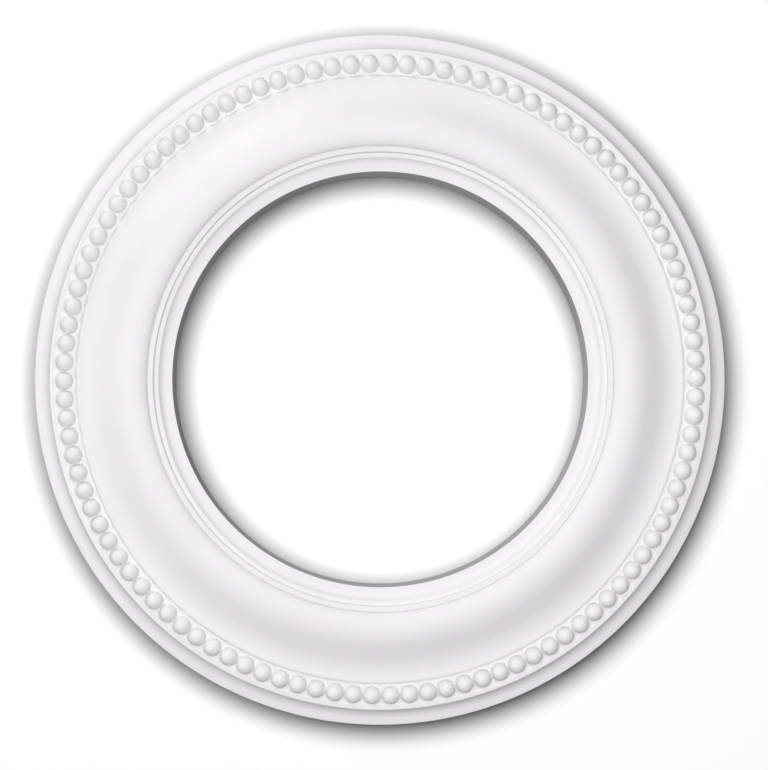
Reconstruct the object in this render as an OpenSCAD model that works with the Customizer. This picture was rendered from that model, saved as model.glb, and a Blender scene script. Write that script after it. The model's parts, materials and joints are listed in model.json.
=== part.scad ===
// Ceiling rose: a ring moulded in one piece, with a stepped inner edge, a broad
// ogee, a channel of round beads and a coved rim. The back is flat and lies on
// z = 0, the moulded face points up, and the ring's axis is Z.

/* [Ring] */
// Diameter over the outside edge
outer_d = 500; // [470:1:640]
// Diameter of the round opening through the middle
bore_d = 297; // [220:0.5:320]
// Height of the crest, the highest line of the ring
crest_h = 26.5; // [23:0.5:40]

/* [Inner edge] */
// How far the lip round the opening lies below the crest
lip_drop = 8.5; // [6:0.1:12]
// Width of that lip
lip_w = 4.1; // [2:0.1:8]
// Width of the small cove that rises from the lip
inner_cove_w = 5.3; // [4:0.1:7]
// Slope that the small cove ends on, in degrees
inner_cove_angle = 60; // [20:1:60]
// Width of the lower flat step
lower_step_w = 3; // [1:0.1:6]
// Height of the riser between the two flat steps
riser_h = 1.8; // [0.8:0.1:2.4]
// How far the riser leans back, so that the ring leaves its mould
riser_draft = 0.8; // [0.1:0.1:1]
// Width of the upper flat step
upper_step_w = 4; // [2:0.1:8]
// Depth of the narrow groove behind the upper step
groove_depth = 0.9; // [0.2:0.1:1]

/* [Ogee] */
// Width of the shoulder that rolls over from the groove to the crest
shoulder_w = 10.8; // [7:0.1:16]
// Share of curve in the ogee's slope: at 0 it would be straight, at 1 it is all curve
ogee_roundness = 0.6; // [0.3:0.05:1]
// Share of the ogee's curve that bulges outwards, above its hollow
ogee_bulge = 0.55; // [0.3:0.05:0.7]
// Width of the hollow that curls up from the dish to the rim of the ogee
curl_w = 3.6; // [2:0.1:8]
// How far that rim stands above the dish, the lowest line of the ogee
curl_rise = 0.5; // [0.3:0.1:1.5]
// Width of the rim's flat top
ogee_rim_w = 1.7; // [0.4:0.1:4]

/* [Beads] */
// Diameter of one bead
bead_d = 13.1; // [8:0.1:16]
// Least gap between neighbouring beads
bead_gap = 0.3; // [0.2:0.1:3]
// Angle of the first bead from the X axis
bead_start = 0.2; // [0:0.1:4]
// Flat floor left on each side of the beads
bead_margin = 0.85; // [0.4:0.05:3]
// Depth of the beads' channel below the rim of the ogee
channel_depth = 2.4; // [0.5:0.1:3]
// Width of the slope from that rim down into the channel
channel_slope_w = 2.1; // [0.6:0.1:5]

/* [Outer edge] */
// Height of the outside edge
edge_h = 6.5; // [3:0.1:10]
// Width of the narrow lip at the outside edge
edge_lip_w = 2.8; // [1.5:0.1:8]
// Fall of that lip towards the outside edge
edge_lip_fall = 0.5; // [0:0.1:0.8]
// Width of the cove that rises from the lip
outer_cove_w = 10.2; // [7:0.1:14]
// Rise of that cove
outer_cove_rise = 7; // [3:0.1:7]
// Depth of the sharp edge between the cove and the fillet above it
fillet_edge = 1.3; // [0.3:0.1:2]
// Width of the fillet's flat top
fillet_w = 1.9; // [1:0.1:4]
// Width of the slope from the fillet down into the channel
fillet_slope_w = 1.2; // [0.6:0.1:3]
// Height of the fillet above the channel's floor
fillet_rise = 1.1; // [0.5:0.1:2]

/* [Finish] */
// Colour of the primed moulding
rose_color = "white"; // [white, ivory, gainsboro]

/* [Hidden] */
$fn = 180;
// straight lengths that stand for one curve of the section, and facets of a bead
curve_steps = 10;
bead_facets = 40;

// heights, worked up from the back to the beads, then down from the crest
edge_lip_h = edge_h + edge_lip_fall;
cove_top_h = edge_lip_h + outer_cove_rise;
fillet_h = cove_top_h + fillet_edge;
channel_h = fillet_h - fillet_rise;
ogee_rim_h = channel_h + channel_depth;
dish_h = ogee_rim_h - curl_rise;
lip_h = crest_h - lip_drop;
lower_step_h = lip_h + inner_cove_w * tan(inner_cove_angle / 2);
upper_step_h = lower_step_h + riser_h;
groove_h = upper_step_h - groove_depth;

// radii, worked outwards from the opening
bore_r = bore_d / 2;
lip_r = bore_r + lip_w;
lower_step_r = lip_r + inner_cove_w;
riser_r = lower_step_r + lower_step_w;
upper_step_r = riser_r + riser_draft;
groove_r = upper_step_r + upper_step_w;
crest_r = groove_r + shoulder_w;

// radii, worked inwards from the outside edge
outer_r = outer_d / 2;
edge_lip_r = outer_r - edge_lip_w;
fillet_out_r = edge_lip_r - outer_cove_w;
fillet_in_r = fillet_out_r - fillet_w;
channel_out_r = fillet_in_r - fillet_slope_w;
channel_in_r = channel_out_r - bead_d - 2 * bead_margin;
ogee_rim_out_r = channel_in_r - channel_slope_w;
ogee_rim_in_r = ogee_rim_out_r - ogee_rim_w;
dish_r = ogee_rim_in_r - curl_w;

// the ogee's slope, and the length of its curves and of its straight middle
ogee_w = dish_r - crest_r;
ogee_fall = crest_h - dish_h;
ogee_angle = atan(ogee_fall / ogee_w) * (1 + ogee_roundness);
ogee_radii = (ogee_w * sin(ogee_angle) - ogee_fall * cos(ogee_angle)) / (1 - cos(ogee_angle));
bulge_r = ogee_radii * ogee_bulge;
hollow_r = ogee_radii - bulge_r;

// beads, as many as fit on the circle along the middle of the channel
bead_circle_r = (channel_in_r + channel_out_r) / 2;
bead_count = floor(180 / asin((bead_d + bead_gap) / 2 / bead_circle_r));

// Circular arc from p to q, level at p and steepest at q, without p itself
function rising_arc(p, q) =
    let (angle = 2 * atan((q.y - p.y) / abs(q.x - p.x)),
         radius = abs(q.x - p.x) / sin(angle),
         side = sign(q.x - p.x))
    [for (i = [1:curve_steps])
        let (a = angle * i / curve_steps)
        [p.x + side * radius * sin(a), p.y + radius * (1 - cos(a))]];

// The same arc the other way, from q down to p, without q itself
function falling_arc(q, p) =
    let (arc = concat([p], rising_arc(p, q)))
    [for (i = [curve_steps - 1:-1:0]) arc[i]];

// Quarter of an ellipse from p, where it is upright, to q, where it is level
function shoulder(p, q) =
    [for (i = [1:curve_steps])
        let (a = 90 * i / curve_steps)
        [q.x - (q.x - p.x) * cos(a), p.y + (q.y - p.y) * sin(a)]];

// Bulge from the crest, straight slope, then hollow down to the dish
function ogee(crest, dish) = concat(
    [for (i = [1:curve_steps])
        let (a = ogee_angle * i / curve_steps)
        [crest.x + bulge_r * sin(a), crest.y - bulge_r * (1 - cos(a))]],
    [for (i = [0:curve_steps])
        let (a = ogee_angle * (1 - i / curve_steps))
        [dish.x - hollow_r * sin(a), dish.y + hollow_r * (1 - cos(a))]]);

// Half section of the ring, from the foot of the opening's wall round to the back
function ring_section() = concat(
    [[bore_r, 0], [bore_r, lip_h], [lip_r, lip_h]],
    rising_arc([lip_r, lip_h], [lower_step_r, lower_step_h]),
    [[riser_r, lower_step_h], [upper_step_r, upper_step_h]],
    [[groove_r, upper_step_h], [groove_r, groove_h]],
    shoulder([groove_r, groove_h], [crest_r, crest_h]),
    ogee([crest_r, crest_h], [dish_r, dish_h]),
    rising_arc([dish_r, dish_h], [ogee_rim_in_r, ogee_rim_h]),
    [[ogee_rim_out_r, ogee_rim_h], [channel_in_r, channel_h], [channel_out_r, channel_h]],
    [[fillet_in_r, fillet_h], [fillet_out_r, fillet_h], [fillet_out_r, cove_top_h]],
    falling_arc([fillet_out_r, cove_top_h], [edge_lip_r, edge_lip_h]),
    [[outer_r, edge_h], [outer_r, 0]]);

// A row of beads round the ring, each half sunk in the channel's floor
module beads() {
    for (i = [0:bead_count - 1])
        rotate([0, 0, bead_start + i * 360 / bead_count])
            translate([bead_circle_r, 0, channel_h])
                sphere(d = bead_d, $fn = bead_facets);
}

module ceiling_rose() {
    color(rose_color)
        union() {
            rotate_extrude() polygon(ring_section());
            beads();
        }
}

ceiling_rose();
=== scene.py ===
import json
import math

import bmesh
import bpy
import numpy as np
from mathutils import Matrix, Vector


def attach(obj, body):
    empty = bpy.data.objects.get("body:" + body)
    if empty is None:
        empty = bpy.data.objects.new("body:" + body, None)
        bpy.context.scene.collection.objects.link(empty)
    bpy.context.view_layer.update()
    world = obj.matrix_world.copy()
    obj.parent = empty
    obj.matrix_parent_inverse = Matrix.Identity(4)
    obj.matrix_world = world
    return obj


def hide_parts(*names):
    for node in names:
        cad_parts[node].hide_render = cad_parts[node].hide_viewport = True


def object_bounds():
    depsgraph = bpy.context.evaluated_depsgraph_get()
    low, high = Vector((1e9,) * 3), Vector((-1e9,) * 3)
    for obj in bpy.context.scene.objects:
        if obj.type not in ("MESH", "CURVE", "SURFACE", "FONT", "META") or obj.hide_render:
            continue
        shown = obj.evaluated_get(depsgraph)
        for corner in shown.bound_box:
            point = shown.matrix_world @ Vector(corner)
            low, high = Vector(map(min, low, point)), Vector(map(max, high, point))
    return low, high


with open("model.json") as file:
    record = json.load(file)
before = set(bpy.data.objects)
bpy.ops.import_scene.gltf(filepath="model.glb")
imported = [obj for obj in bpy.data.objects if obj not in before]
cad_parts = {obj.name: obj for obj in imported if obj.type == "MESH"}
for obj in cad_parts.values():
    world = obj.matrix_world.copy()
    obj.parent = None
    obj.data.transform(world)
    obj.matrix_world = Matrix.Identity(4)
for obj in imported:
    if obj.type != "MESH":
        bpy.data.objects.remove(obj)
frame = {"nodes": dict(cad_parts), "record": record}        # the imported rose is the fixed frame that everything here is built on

cadLow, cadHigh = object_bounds()
print("frame loaded:", ", ".join(frame["nodes"]))

mm = 0.001        # shapes are worked out in millimetres, meshes are in metres
opening = next(mount for mount in frame["record"]["mounts"] if mount["name"] == "light_opening")
boreRadius = opening["dims"]["r_mm"]
outerRadius = min(-cadLow.x, -cadLow.y, cadHigh.x, cadHigh.y) / mm
crestHeight = cadHigh.z / mm


# The ring's section, from the opening outwards. Heights hang from the crest on the inside
# and stand on the back on the outside.
ringShape = {
    "lipDrop": 8.5, "lipWidth": 4.1,                                   # flat lip round the opening
    "innerCoveWidth": 5.3, "innerCoveAngle": 60,
    "lowerStepWidth": 3.0, "riser": 1.8, "riserDraft": 0.8, "upperStepWidth": 4.0,
    "grooveDepth": 0.9, "grooveWidth": 0.5, "shoulderWidth": 10.8,
    "ogeeRoundness": 0.6, "ogeeBulge": 0.55,
    "curlWidth": 3.6, "curlRise": 0.5, "ogeeRimWidth": 1.7,
    "channelDepth": 2.4, "channelSlopeWidth": 2.1, "channelWidth": 14.8,
    "filletRise": 1.1, "filletSlopeWidth": 1.2, "filletWidth": 1.9, "filletEdge": 1.3,
    "coveWidth": 10.2, "coveRise": 7.0,
    "edgeLipFall": 0.5, "edgeLipWidth": 2.8, "edgeHeight": 6.5,
    "soft": 0.3,              # how far from a corner its rounding starts
    "bluntest": 17,           # corners sharper than this, in degrees, are rounded
    "softShare": 0.36,        # most of a side that a rounding may take up
    "flatShare": 0.48,        # most of a side before the point that keeps its flat flat
    "leastStep": 0.03,        # points closer than this become one
    "curvePoints": 8, "curlPoints": 5,         # points on each curve
    "crowding": 1.25,         # above 1, the shoulder's points crowd at its upright end
    "stepsPerBead": 6,        # steps round the ring for each bead
}


def arcRise(low, high, points):
    # circular arc that is level at low and steepest at high:
    # along = radius * sin(angle), up = radius * (1 - cos(angle))
    run, rise = high[0] - low[0], high[1] - low[1]
    whole = 2 * math.atan2(rise, abs(run))
    radius = abs(run) / math.sin(whole)
    angle = np.linspace(0, whole, points)
    along = low[0] + math.copysign(1, run) * radius * np.sin(angle)
    return np.column_stack([along, low[1] + radius * (1 - np.cos(angle))])


def quarterEllipse(low, high, points, crowding):
    # upright at low and level at high: along = width * (1 - cos(angle)), up = height * sin(angle),
    # with the points closer together near the upright end
    angle = math.pi / 2 * np.linspace(0, 1, points) ** crowding
    return np.column_stack([low[0] + (high[0] - low[0]) * (1 - np.cos(angle)),
                            low[1] + (high[1] - low[1]) * np.sin(angle)])


def ogeeCurve(crest, dish, roundness, bulge, points):
    # an arc that bulges from the crest, a straight slope, and a hollow arc down to the dish;
    # the three meet in line, and the two radii together follow from the width and the fall
    run, fall = dish[0] - crest[0], crest[1] - dish[1]
    slope = math.atan2(fall, run) * (1 + roundness)
    radii = (run * math.sin(slope) - fall * math.cos(slope)) / (1 - math.cos(slope))
    angle = np.linspace(0, slope, points)
    upper = np.column_stack([crest[0] + radii * bulge * np.sin(angle),
                             crest[1] - radii * bulge * (1 - np.cos(angle))])
    angle = angle[::-1]
    lower = np.column_stack([dish[0] - radii * (1 - bulge) * np.sin(angle),
                             dish[1] + radii * (1 - bulge) * (1 - np.cos(angle))])
    return np.vstack([upper, lower])


def softened(points, shape):
    # each sharp corner becomes a short curve that starts and ends 'soft' from it:
    # (1-t)^2 start + 2t(1-t) corner + t^2 end. A point twice as far out on each side keeps
    # the flats flat when the faces are shaded smooth.
    before, after = points[:-2] - points[1:-1], points[2:] - points[1:-1]
    lengthBefore = np.linalg.norm(before, axis=1, keepdims=True)
    lengthAfter = np.linalg.norm(after, axis=1, keepdims=True)
    before, after = before / lengthBefore, after / lengthAfter
    sharp = -(before * after).sum(1) < math.cos(math.radians(shape["bluntest"]))
    reach = np.minimum(shape["soft"], shape["softShare"] * np.minimum(lengthBefore, lengthAfter))
    corner = points[1:-1]
    curve = [corner + before * np.minimum(2 * reach, shape["flatShare"] * lengthBefore)]
    for t in (0, 0.5, 1):
        start, end = corner + before * reach, corner + after * reach
        curve.append((1 - t) ** 2 * start + 2 * t * (1 - t) * corner + t ** 2 * end)
    curve.append(corner + after * np.minimum(2 * reach, shape["flatShare"] * lengthAfter))
    curve = np.stack(curve, axis=1)
    # a blunt corner stays one point, in the middle place of its curve
    keep = np.repeat(sharp[:, None], curve.shape[1], axis=1)
    keep[~sharp, 2] = True
    curve[~sharp, 2] = corner[~sharp]
    line = np.vstack([points[:1], curve[keep], points[-1:]])
    step = np.linalg.norm(np.diff(line, axis=0), axis=1)
    return line[np.append(True, step > shape["leastStep"])]


def ringSection(shape, outerRadius, boreRadius, crestHeight):
    # the section as one open line in (radius, height): from the inner foot of the bead
    # channel over the crest and down the opening's wall, along the back, then up the outside
    # edge to the channel's outer foot. The beads' floor closes it.
    s, n = shape, shape["curvePoints"]
    edgeLip = (outerRadius - s["edgeLipWidth"], s["edgeHeight"] + s["edgeLipFall"])
    coveTop = (edgeLip[0] - s["coveWidth"], edgeLip[1] + s["coveRise"])
    fillet = coveTop[1] + s["filletEdge"]
    filletIn = coveTop[0] - s["filletWidth"]
    floorOut = (filletIn - s["filletSlopeWidth"], fillet - s["filletRise"])
    floorIn = (floorOut[0] - s["channelWidth"], floorOut[1])
    rimOut = (floorIn[0] - s["channelSlopeWidth"], floorIn[1] + s["channelDepth"])
    rimIn = (rimOut[0] - s["ogeeRimWidth"], rimOut[1])
    dish = (rimIn[0] - s["curlWidth"], rimIn[1] - s["curlRise"])
    lip = (boreRadius + s["lipWidth"], crestHeight - s["lipDrop"])
    coveRise = s["innerCoveWidth"] * math.tan(math.radians(s["innerCoveAngle"] / 2))
    lowerStep = (lip[0] + s["innerCoveWidth"], lip[1] + coveRise)
    riserFoot = (lowerStep[0] + s["lowerStepWidth"], lowerStep[1])
    riserTop = (riserFoot[0] + s["riserDraft"], riserFoot[1] + s["riser"])
    groove = (riserTop[0] + s["upperStepWidth"], riserTop[1] - s["grooveDepth"])
    crest = (groove[0] + s["shoulderWidth"], crestHeight)
    inner = np.vstack([
        [floorIn, rimOut],
        arcRise(dish, rimIn, s["curlPoints"])[::-1],
        ogeeCurve(crest, dish, s["ogeeRoundness"], s["ogeeBulge"], n)[-2::-1],
        quarterEllipse(groove, crest, n + 2, s["crowding"])[-2::-1],
        [(groove[0] - s["grooveWidth"], riserTop[1]), riserTop, riserFoot],
        arcRise(lip, lowerStep, n)[::-1],
        [(boreRadius, lip[1]), (boreRadius, 0)],
    ])
    outer = np.vstack([
        [(outerRadius, 0), (outerRadius, s["edgeHeight"])],
        arcRise(edgeLip, coveTop, n),
        [(coveTop[0], fillet), (filletIn, fillet), floorOut],
    ])
    return softened(np.vstack([inner, outer]), s), floorIn, floorOut


def spun(line, angles):
    # each point of the section goes round the axis:
    # x = radius * cos(angle), y = radius * sin(angle), z = height
    radius, height = line[:, :1], line[:, 1:]
    points = np.stack([radius * np.cos(angles), radius * np.sin(angles),
                       height + 0 * angles], axis=-1)
    here = np.arange(points.shape[0] * points.shape[1]).reshape(points.shape[:2])
    beside = np.roll(here, -1, axis=1)
    faces = np.stack([here[:-1], beside[:-1], beside[1:], here[1:]], axis=-1)
    return points.reshape(-1, 3), faces.reshape(-1, 4)


beadShape = {
    "diameter": 13.1, "gap": 0.3,     # the gap is the least one, and sets how many beads fit
    "firstAngle": 0.2,                # degrees from the X axis
    "height": 1.0,                    # 1 is half a ball, less is flatter
    "web": 0.6, "webWidth": 1.8,      # height and width of the skin left between neighbours
    "webReach": 6,                    # the higher, the less of a bead's foot stands on the web
    "foot": 0.2, "footHeight": 0.2,   # width and height of the soft foot round a bead
    "footShare": 0.6,                 # most of the gap to the cell's edge that the foot takes
    "rings": 8,                       # rings of faces up a bead
    # how much beads differ, as a share of their size and in mm of place, and how many times
    # that one may be out
    "unevenSize": 0.004, "unevenPlace": 0.04, "unevenMost": 1.5, "seed": 11,
}


def beadBand(shape, count, perSide, floorIn, floorOut):
    # The channel is cut into one cell for each bead. In a cell, rings of points go from the
    # cell's four-sided edge to a foot circle, and up a half ball to its top:
    # out = radius * sin(tilt), up = radius * cos(tilt), where tilt is 0 at the top.
    # Where two beads nearly meet, the edge rises as a bell curve into a thin web.
    random = np.random.default_rng(shape["seed"])
    uneven = random.standard_normal((count, 3)).clip(-shape["unevenMost"], shape["unevenMost"])
    pitch = 2 * math.pi / count
    middle, half = (floorIn[0] + floorOut[0]) / 2, (floorOut[0] - floorIn[0]) / 2
    floor, segments = floorIn[1], 4 * perSide

    along = np.tile(np.arange(perSide) / perSide * 2 - 1, 4)
    side = np.repeat(np.arange(4), perSide)
    one = np.ones(segments)
    outwards = np.choose(side, [one, -along, -one, along])       # across the channel, -1 to 1
    onwards = np.choose(side, [along, one, -along, -one])        # round the ring, -1 to 1
    turn = -math.pi / 4 + np.arange(segments) * 2 * math.pi / segments     # from a corner

    cell = math.radians(shape["firstAngle"]) + np.arange(count) * pitch
    angle = cell[:, None] + onwards * pitch / 2
    edgeRadius = middle + outwards * half
    web = shape["web"] * np.exp(-(outwards * half / shape["webWidth"]) ** 2) * (abs(onwards) == 1)
    edge = np.stack([edgeRadius * np.cos(angle), edgeRadius * np.sin(angle),
                     floor + web + 0 * angle], axis=-1)

    size = shape["diameter"] / 2 * (1 + shape["unevenSize"] * uneven[:, :1])
    outward = np.stack([np.cos(cell), np.sin(cell), 0 * cell], axis=-1)
    sideways = np.stack([-np.sin(cell), np.cos(cell), 0 * cell], axis=-1)
    centre = (outward * (middle + shape["unevenPlace"] * uneven[:, 1:2])
              + sideways * shape["unevenPlace"] * uneven[:, 2:])
    centre[:, 2] = floor
    ray = (outward[:, None] * np.cos(turn)[:, None]
           + sideways[:, None] * np.sin(turn)[:, None])

    # the foot of a bead stands on the floor, or on the web where there is one
    beside = np.exp(-((1 - abs(np.sin(turn))) * shape["webReach"]) ** 2)
    footRise = shape["web"] * beside + shape["footHeight"]
    lowest = np.arccos(np.clip(footRise / (size * shape["height"]), 0, 1))
    share = np.arange(shape["rings"], 0, -1) / shape["rings"]
    tilt = lowest[:, None] * share[:, None]
    radius = size[:, None]
    dome = centre[:, None, None] + ray[:, None] * (radius * np.sin(tilt))[..., None]
    dome[..., 2] += shape["height"] * radius * np.cos(tilt)
    gap = edge - dome[:, 0]
    gap[..., 2] = 0
    reach = np.linalg.norm(gap, axis=-1, keepdims=True)
    foot = dome[:, 0] + gap * np.minimum(shape["footShare"], shape["foot"] / reach)
    foot[..., 2] = floor + footRise - shape["footHeight"]
    top = centre + size * shape["height"] * np.array([0, 0, 1])

    rings = np.concatenate([edge[:, None], foot[:, None], dome], axis=1)
    here = np.arange(rings[..., 0].size).reshape(rings.shape[:3])
    beyond = np.roll(here, -1, axis=2)
    walls = np.stack([here[:, :-1], beyond[:, :-1], beyond[:, 1:], here[:, 1:]], axis=-1)
    tops = np.repeat(here.size + np.arange(count)[:, None], segments, axis=1)
    caps = np.stack([here[:, -1], beyond[:, -1], tops], axis=-1)
    return np.vstack([rings.reshape(-1, 3), top]), walls.reshape(-1, 4), caps.reshape(-1, 3)


# A small dent in the lip: where it lies, in degrees and mm, its size, and the height above
# which the surface is the moulded face.
nick = {"angle": 90.5, "radius": 153.2, "length": 1.9, "width": 1.0, "depth": 0.2, "above": 10}


def pressNick(points, shape):
    # a bell curve both ways: depth * exp(-(along / length)^2 - (across / width)^2)
    radius = np.hypot(points[:, 0], points[:, 1])
    across = (np.arctan2(points[:, 1], points[:, 0]) - math.radians(shape["angle"])) * radius
    along = radius - shape["radius"]
    bell = np.exp(-(along / shape["length"]) ** 2 - (across / shape["width"]) ** 2)
    points[:, 2] -= shape["depth"] * bell * (points[:, 2] > shape["above"])
    return points


def makePiece(name, points, faceLists, touching=0.002):
    # points closer than 'touching' become one, which closes the seams between the parts
    mesh = bpy.data.meshes.new(name)
    mesh.from_pydata(points * mm, [], [face for faces in faceLists for face in faces.tolist()])
    work = bmesh.new()
    work.from_mesh(mesh)
    bmesh.ops.remove_doubles(work, verts=work.verts, dist=touching * mm)
    openEdges = sum(not edge.is_manifold for edge in work.edges)
    volume = work.calc_volume(signed=True)
    work.to_mesh(mesh)
    work.free()
    mesh.polygons.foreach_set("use_smooth", np.ones(len(mesh.polygons), bool))
    piece = bpy.data.objects.new(name, mesh)
    bpy.context.scene.collection.objects.link(piece)
    corners = np.empty(len(mesh.polygons), int)
    mesh.polygons.foreach_get("loop_total", corners)
    print(f"{name}: {int((corners - 2).sum())} triangles, {openEdges} open edges, "
          f"{volume * 1000:.3f} litres")
    return piece


def buildRose():
    line, floorIn, floorOut = ringSection(ringShape, outerRadius, boreRadius, crestHeight)
    circle = (floorIn[0] + floorOut[0]) / 2
    count = int(math.pi / math.asin((beadShape["diameter"] + beadShape["gap"]) / 2 / circle))
    perSide = ringShape["stepsPerBead"]
    first = math.radians(beadShape["firstAngle"]) - math.pi / count
    angles = first + np.arange(count * perSide) * 2 * math.pi / (count * perSide)
    ringPoints, ringFaces = spun(line, angles)
    ringPoints = pressNick(ringPoints, nick)
    beadPoints, walls, caps = beadBand(beadShape, count, perSide, floorIn, floorOut)
    print(f"section of {len(line)} points, {count} beads")
    return makePiece("rose_moulding", np.vstack([ringPoints, beadPoints]),
                     [ringFaces, walls + len(ringPoints), caps + len(ringPoints)])


class Wire:
    # a node's output that takes part in sums; each sum adds a Math node
    def __init__(self, shader, socket):
        self.shader, self.socket = shader, socket

    def math(self, operation, first, second):
        return self.shader.node("ShaderNodeMath", {"operation": operation}, {0: first, 1: second})

    def __add__(self, other):
        return self.math("ADD", self, other)

    def __radd__(self, other):
        return self.math("ADD", other, self)

    def __sub__(self, other):
        return self.math("SUBTRACT", self, other)

    def __rsub__(self, other):
        return self.math("SUBTRACT", other, self)

    def __mul__(self, other):
        return self.math("MULTIPLY", self, other)

    def __rmul__(self, other):
        return self.math("MULTIPLY", other, self)


class Shader:
    # one material, with the one method that adds its nodes
    def __init__(self, name):
        self.material = bpy.data.materials.new(name)
        self.material.use_nodes = True
        self.tree = self.material.node_tree
        self.tree.nodes.clear()

    def node(self, kind, settings=None, sockets=None, output=0):
        made = self.tree.nodes.new(kind)
        for key, value in (settings or {}).items():
            if key == "stops":
                ramp = made.color_ramp
                while len(ramp.elements) < len(value):
                    ramp.elements.new(0.5)
                for element, (place, colour) in zip(ramp.elements, value):
                    element.position = place
                    element.color = colour
            else:
                setattr(made, key, value)
        for key, value in (sockets or {}).items():
            if isinstance(value, Wire):
                self.tree.links.new(value.socket, made.inputs[key])
            else:
                made.inputs[key].default_value = value
        return Wire(self, made.outputs[output]) if made.outputs else None


primerLook = {
    "colour": (0.800, 0.786, 0.800, 1), "deeperColour": (0.775, 0.760, 0.777, 1),
    "foamColour": (0.74, 0.69, 0.56, 1), "foamDeeper": (0.60, 0.54, 0.40, 1),
    "roughness": 0.50, "roughnessSpread": 0.12, "foamRougher": 0.3,
    "specular": 0.35,
    # each noise: scale, detail and roughness
    "cloud": (14, 4, 0.6), "spray": (620, 2, 0.5), "pores": (900, 3, 0.65),
    "cloudShare": 0.75,                        # the rest of the primer's pattern is spray
    "primerStops": (0.35, 0.6), "foamStops": (0.38, 0.52),
    "sprayDepth": 0.03, "poreDepth": 0.15,     # mm
    "backEdge": (0.15, 0.5), "ragged": 0.3,    # mm above the back where the primer thins out
}


def primerMaterial(look):
    shader = Shader("satin_white_primer")
    place = shader.node("ShaderNodeTexCoord", output=3)

    def noise(name):
        scale, detail, roughness = look[name]
        return shader.node("ShaderNodeTexNoise", {}, {
            "Vector": place, "Scale": scale, "Detail": detail, "Roughness": roughness})

    def blend(stops, colours, factor):
        return shader.node("ShaderNodeValToRGB", {"stops": list(zip(stops, colours))}, {0: factor})

    cloud, spray, pores = noise("cloud"), noise("spray"), noise("pores")
    height = shader.node("ShaderNodeSeparateXYZ", {}, {0: place}, output=2)
    primed = shader.node("ShaderNodeMapRange", {"interpolation_type": "SMOOTHSTEP"}, {
        "Value": height + look["ragged"] * mm * (cloud - 0.5),
        "From Min": look["backEdge"][0] * mm, "From Max": look["backEdge"][1] * mm})

    pattern = look["cloudShare"] * cloud + (1 - look["cloudShare"]) * spray
    primer = blend(look["primerStops"], (look["deeperColour"], look["colour"]), pattern)
    foam = blend(look["foamStops"], (look["foamDeeper"], look["foamColour"]), pores)
    colour = shader.node("ShaderNodeMix", {"data_type": "RGBA"}, {0: primed, 6: foam, 7: primer},
                         output=2)
    roughness = (look["roughness"] + look["roughnessSpread"] * (cloud - 0.5)
                 + look["foamRougher"] * (1 - primed))
    relief = (look["sprayDepth"] * mm * spray * primed
              + look["poreDepth"] * mm * pores * (1 - primed))
    bump = shader.node("ShaderNodeBump", {}, {"Height": relief, "Distance": 1.0, "Strength": 1.0})
    surface = shader.node("ShaderNodeBsdfPrincipled", {}, {
        "Base Color": colour, "Roughness": roughness, "Normal": bump,
        "Specular IOR Level": look["specular"]})
    shader.node("ShaderNodeOutputMaterial", {}, {"Surface": surface})
    return shader.material


rose = buildRose()
rose.data.materials.append(primerMaterial(primerLook))
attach(rose, "root")
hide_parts("ceiling_rose")
print("rose finished")


# The studio: a pale floor under the rose's back, and a camera above that looks straight down.
# The rose has its own soft lights. The floor has one other light, and an unseen ring a little
# above it keeps some of that light off, which makes the soft shade beside the rose.
studio = {
    "floorSize": 3.0, "floorGap": 0.1,             # gap in mm between the floor and the back
    "floorColour": (0.95, 0.95, 0.95, 1),
    # each light: azimuth and elevation in degrees, distance and size in metres, strength
    "roseLights": {
        "overhead": (90, 90, 0.95, 1.6, 1.62),
        "key": (118, 15, 1.6, 0.6, 0.37),
        "leftFill": (208, 12, 1.6, 0.8, 0.16),
    },
    "floorLight": (122, 79, 3.2, 3.3, 1.40),
    "shadeHeight": 23, "shadeInside": 5.4, "shadeOutside": 4.6,      # mm, and mm past the rose
    "shadeSteps": 96,
    # metres; the lens and the sensor in mm
    "cameraOver": (-0.024, -0.029), "cameraHeight": 0.814, "lens": 52.11, "sensor": 36,
    "centreInView": (-0.0058, 0.0062),   # where the ring's centre lies, in widths of the view
}


def makeStage(name, points, faces, colour):
    mesh = bpy.data.meshes.new(name)
    mesh.from_pydata(points, [], faces)
    thing = bpy.data.objects.new(name, mesh)
    bpy.context.scene.collection.objects.link(thing)
    shader = Shader(name)
    paint = shader.node("ShaderNodeBsdfDiffuse", {}, {"Color": colour})
    shader.node("ShaderNodeOutputMaterial", {}, {"Surface": paint})
    mesh.materials.append(shader.material)
    return thing


def makeFloor(look):
    half, low = look["floorSize"] / 2, -look["floorGap"] * mm
    corners = [(-half, -half, low), (half, -half, low), (half, half, low), (-half, half, low)]
    floor = makeStage("pale_floor", corners, [(0, 1, 2, 3)], look["floorColour"])
    floor.visible_diffuse = False      # its white doesn't light up the opening's wall
    floor.visible_glossy = False
    return floor


def makeShadeRing(look):
    # a flat ring: x = radius * cos(angle), y = radius * sin(angle)
    steps = look["shadeSteps"]
    angle = np.arange(steps) * 2 * math.pi / steps
    circle = np.column_stack([np.cos(angle), np.sin(angle), 0 * angle])
    inner, outer = boreRadius - look["shadeInside"], outerRadius + look["shadeOutside"]
    points = np.vstack([circle * inner, circle * outer]) + [0, 0, look["shadeHeight"]]
    here = np.arange(steps)
    beside = np.roll(here, -1)
    faces = np.column_stack([here, beside, beside + steps, here + steps])
    ring = makeStage("shade_ring", points * mm, faces.tolist(), look["floorColour"])
    ring.visible_camera = False
    ring.visible_diffuse = False
    ring.visible_glossy = False
    ring.visible_transmission = False
    return ring


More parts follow.
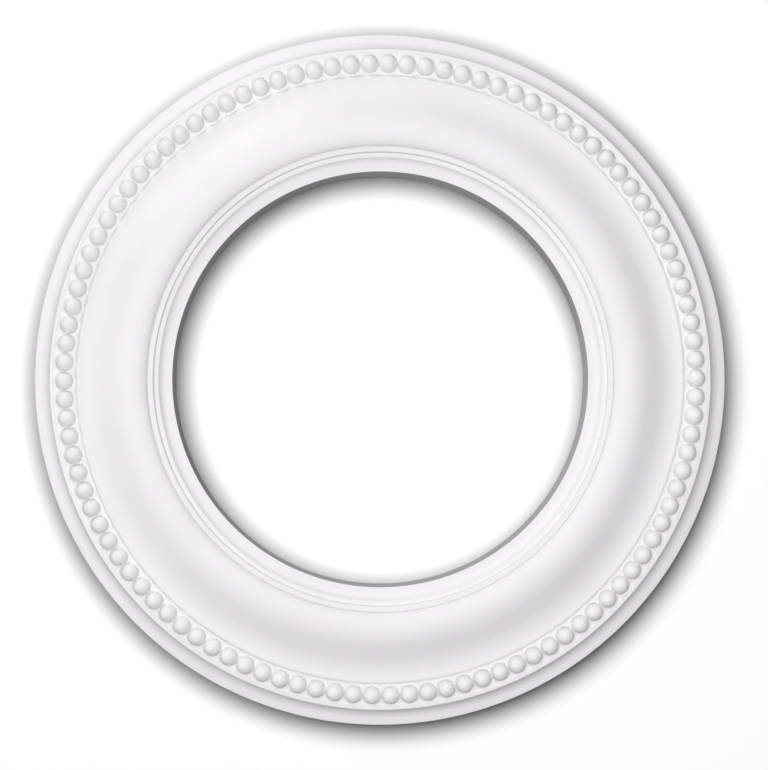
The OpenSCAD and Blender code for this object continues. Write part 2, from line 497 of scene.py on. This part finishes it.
def groupOf(name, member):
    group = bpy.data.collections.new(name)
    group.objects.link(member)
    return group


def softLight(name, values, lit, blocker):
    # a round soft light that faces the ring's centre. At strength 1 a small one makes a white
    # surface there that faces it look just white, from any distance.
    azimuth, elevation, distance, size, strength = values
    lamp = bpy.data.lights.new(name, "AREA")
    lamp.shape = "DISK"
    lamp.size = size
    lamp.energy = strength * math.pi * math.pi * distance ** 2
    light = bpy.data.objects.new(name, lamp)
    turn, tilt = math.radians(azimuth), math.radians(elevation)
    towards = Vector((math.cos(turn) * math.cos(tilt), math.sin(turn) * math.cos(tilt),
                      math.sin(tilt)))
    light.location = towards * distance
    light.rotation_euler = towards.to_track_quat("Z", "Y").to_euler()
    light.visible_camera = False
    light.light_linking.receiver_collection = groupOf(name + "_lights", lit)
    light.light_linking.blocker_collection = groupOf(name + "_blocked_by", blocker)
    bpy.context.scene.collection.objects.link(light)


def makeBackdrop():
    # plain white past the floor's edge, which only the camera sees: it lights nothing
    world = bpy.data.worlds.new("backdrop")
    world.use_nodes = True
    world.node_tree.nodes["Background"].inputs["Color"].default_value = (1, 1, 1, 1)
    world.cycles_visibility.diffuse = False
    world.cycles_visibility.glossy = False
    world.cycles_visibility.transmission = False
    world.cycles_visibility.scatter = False
    bpy.context.scene.world = world


def addCamera(look):
    lens = bpy.data.cameras.new("camera")
    lens.lens = look["lens"]
    lens.sensor_width = look["sensor"]
    over, centre, height = look["cameraOver"], look["centreInView"], look["cameraHeight"]
    view = height * look["sensor"] / look["lens"]
    lens.shift_x = -over[0] / view - centre[0]
    lens.shift_y = -over[1] / view - centre[1]
    camera = bpy.data.objects.new("camera", lens)
    camera.location = (over[0], over[1], height)
    bpy.context.scene.collection.objects.link(camera)
    bpy.context.scene.camera = camera


floor = makeFloor(studio)
shadeRing = makeShadeRing(studio)
for name, values in studio["roseLights"].items():
    softLight(name, values, rose, rose)
softLight("floorLight", studio["floorLight"], floor, shadeRing)
makeBackdrop()
addCamera(studio)
bpy.context.scene.view_settings.view_transform = "Standard"
print("studio set up")
